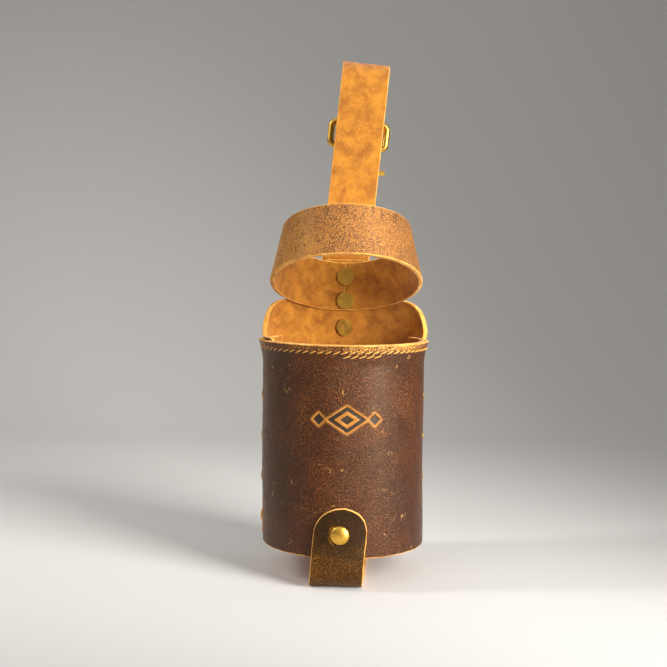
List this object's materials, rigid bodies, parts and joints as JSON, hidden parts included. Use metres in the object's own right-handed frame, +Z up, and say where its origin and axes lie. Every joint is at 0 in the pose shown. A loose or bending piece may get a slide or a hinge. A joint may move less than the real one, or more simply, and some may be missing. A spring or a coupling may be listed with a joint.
{
  "type": "bottle carrier",
  "caption": "Leather carrier for a round bottle: riveted sleeve with a base strap, a tilted shoulder band and a hanger strap with a swivel snap hook.",
  "frame": {"origin": "centre of the base strap's flat underside, on the floor under the sleeve's axis", "axes": "+Z up along the sleeve's axis, -Y towards the front with the riveted tongue, +X to the right as seen from the front"},
  "size_m": [0.0848, 0.1218, 0.2636],
  "materials": {
    "panel_leather": "waxed pull-up leather, dark brown, satin with scuffs",
    "band_leather": "waxed pull-up leather, golden tan where it is bent, mottled dark",
    "strap_leather": "waxed pull-up leather, olive brown, golden where it is bent",
    "flesh_leather": "raw flesh side, matt suede, orange brown",
    "brass": "antique brass, satin",
    "thread": "waxed thread, golden yellow",
    "spring_steel": "bright spring wire"
  },
  "bodies": {
    "carrier": {"front_panel": "panel_leather", "back_panel": "panel_leather", "rim_lining": "flesh_leather", "rim_stitches": "thread", "base_strap": "strap_leather", "band_root": "band_leather", "hanger_root": "strap_leather", "strap_rivet_caps": "brass", "strap_rivet_posts": "brass", "side_rivet_caps": "brass", "side_rivet_posts": "brass", "rear_rivet_caps": "brass", "rear_rivet_posts": "brass"},
    "band": {"neck_band": "band_leather"},
    "hanger": {"hanger_strap": "strap_leather", "loop_rivet_cap": "brass", "loop_rivet_post": "brass"},
    "eye": {"hook_eye": "brass"},
    "hook": {"hook_body": "brass", "gate_pin": "brass", "gate_spring": "spring_steel"},
    "gate": {"hook_gate": "brass"}
  },
  "joints": [
    {"name": "band_lift", "type": "hinge", "parent": "carrier", "child": "band", "pos_m": [0, 0.038, 0.1417], "axis": [-1, 0, 0], "range_deg": [0, 30]},
    {"name": "strap_bend", "type": "hinge", "parent": "carrier", "child": "hanger", "pos_m": [0, 0.0436, 0.1578], "axis": [-0.9954, 0, 0.0958], "range_deg": [-12, 85]},
    {"name": "eye_swing", "type": "hinge", "parent": "hanger", "child": "eye", "pos_m": [0.00703, 0.06963, 0.23083], "axis": [0.9954, 0, -0.0958], "range_deg": [-6, 100]},
    {"name": "hook_swivel", "type": "hinge", "parent": "eye", "child": "hook", "pos_m": [0.00703, 0.06963, 0.23083], "axis": [0.0958, 0, 0.9954], "continuous": true},
    {"name": "gate_press", "type": "hinge", "parent": "hook", "child": "gate", "pos_m": [0.01223, 0.06963, 0.20888], "axis": [0, 1, 0], "range_deg": [0, 30], "stiffness_Nm_per_rad": 0.05, "springref_deg": -17.19}
  ]
}
